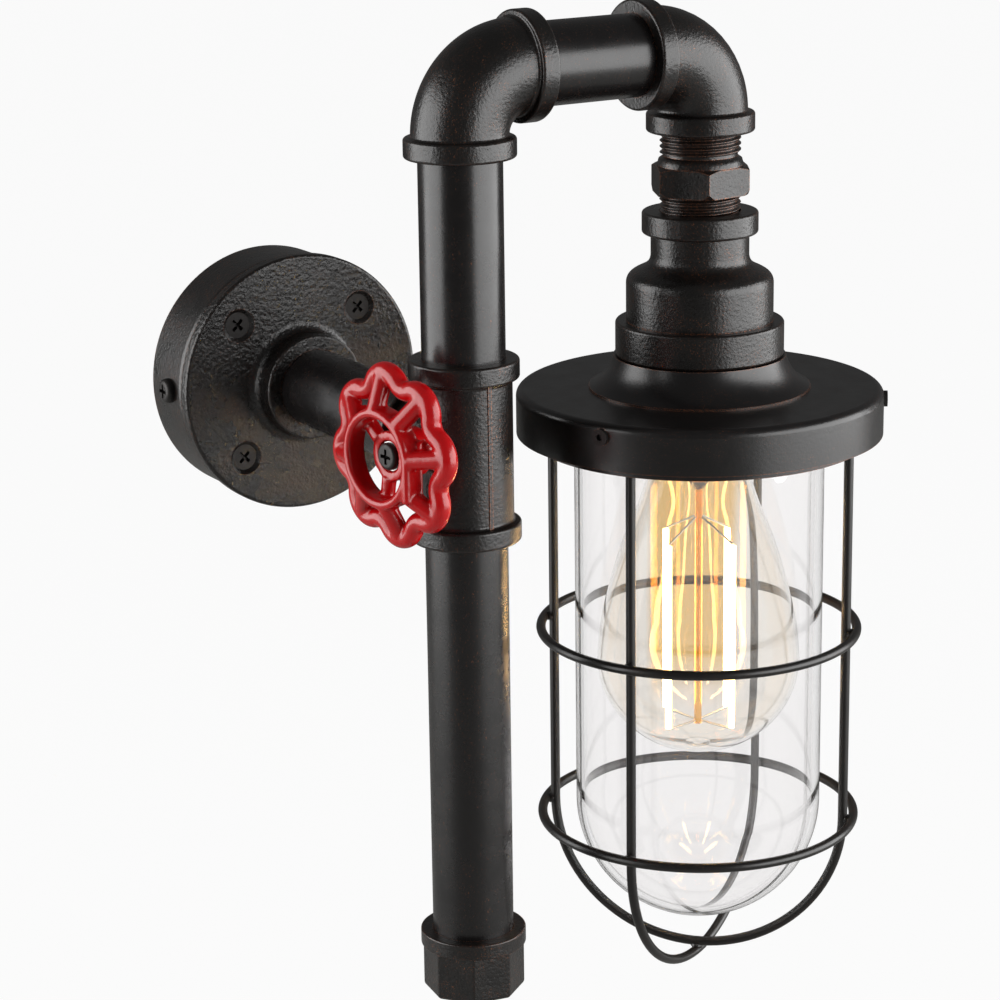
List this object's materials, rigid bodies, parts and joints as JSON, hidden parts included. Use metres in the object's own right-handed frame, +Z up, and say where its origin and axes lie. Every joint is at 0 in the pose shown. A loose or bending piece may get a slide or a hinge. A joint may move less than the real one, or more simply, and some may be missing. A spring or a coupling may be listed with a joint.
{
  "type": "industrial pipe wall light",
  "caption": "Wall light made of black pipe fittings: round wall flange, tee with a red hand wheel, arm between elbows, and a caged glass jar round a filament bulb.",
  "frame": {"origin": "centre of the wall plane, on the axis of the pipe that leaves the wall", "axes": "+Y into the wall, +Z up, the arm and the lamp towards +X"},
  "size_m": [0.1856, 0.1871, 0.3126],
  "materials": {
    "cast_paint": "satin black paint, brushed copper speckle on the edges",
    "pipe_paint": "satin black paint",
    "shade_paint": "satin black paint",
    "wire_paint": "satin black paint with a copper sheen",
    "red_enamel": "glossy deep red enamel",
    "dark_screws": "blackened steel",
    "zinc_steel": "zinc-plated steel",
    "clear_glass": "clear glass",
    "bulb_glass": "clear glass",
    "brass": "drawn brass",
    "cap_metal": "bright drawn metal",
    "porcelain": "white glazed porcelain",
    "terminal_plastic": "white moulded plastic",
    "insulator_glass": "black glassy insulator",
    "cable_sheath": "black cable sheath",
    "seal_rubber": "black seal ring",
    "filament": "lit warm white filament coating",
    "support_wire": "drawn wire"
  },
  "bodies": {
    "fixture": {"mounting_bracket": "zinc_steel", "earth_screw": "brass", "terminal_block": "terminal_plastic", "terminal_screws": "brass", "wall_box": "cast_paint", "box_screws": "dark_screws", "wall_flange": "cast_paint", "flange_screws": "dark_screws", "flange_nuts": "zinc_steel", "wall_nipple": "pipe_paint", "tee": "cast_paint", "upper_pipe": "pipe_paint", "lower_pipe": "pipe_paint", "end_cap": "cast_paint", "elbow_left": "cast_paint", "elbow_right": "cast_paint", "arm_pipe": "pipe_paint", "hex_nipple": "cast_paint", "reducer": "cast_paint", "shade_cap": "shade_paint", "cap_screws": "dark_screws", "lampholder_body": "porcelain", "lampholder_screws": "brass", "lampholder_shell": "brass", "lampholder_contact": "brass", "lamp_cable": "cable_sheath", "jar_gasket": "seal_rubber", "wheel_spindle": "zinc_steel", "wheel_washer": "zinc_steel", "wheel_screw": "dark_screws"},
    "wheel": {"hand_wheel": "red_enamel"},
    "guard": {"glass_jar": "clear_glass", "cage_collar": "shade_paint", "cage_hoop_lower": "wire_paint", "cage_hoop_upper": "wire_paint", "cage_ring_upper": "wire_paint", "cage_ring_lower": "wire_paint"},
    "bulb": {"bulb_glass": "bulb_glass", "bulb_cap": "cap_metal", "bulb_insulator": "insulator_glass", "bulb_tip": "cap_metal", "bulb_stem": "bulb_glass", "bulb_filaments": "filament", "bulb_supports": "support_wire"}
  },
  "joints": [
    {"name": "wheel_turn", "type": "hinge", "parent": "fixture", "child": "wheel", "pos_m": [0, -0.13, 0.0029], "axis": [-0.9877, -0.1564, 0], "continuous": true},
    {"name": "guard_drop", "type": "slide", "parent": "fixture", "child": "guard", "axis": [0, 0, -1], "range_m": [0, 0.165]},
    {"name": "bulb_out", "type": "slide", "parent": "fixture", "child": "bulb", "axis": [0, 0, -1], "range_m": [0, 0.032]}
  ]
}
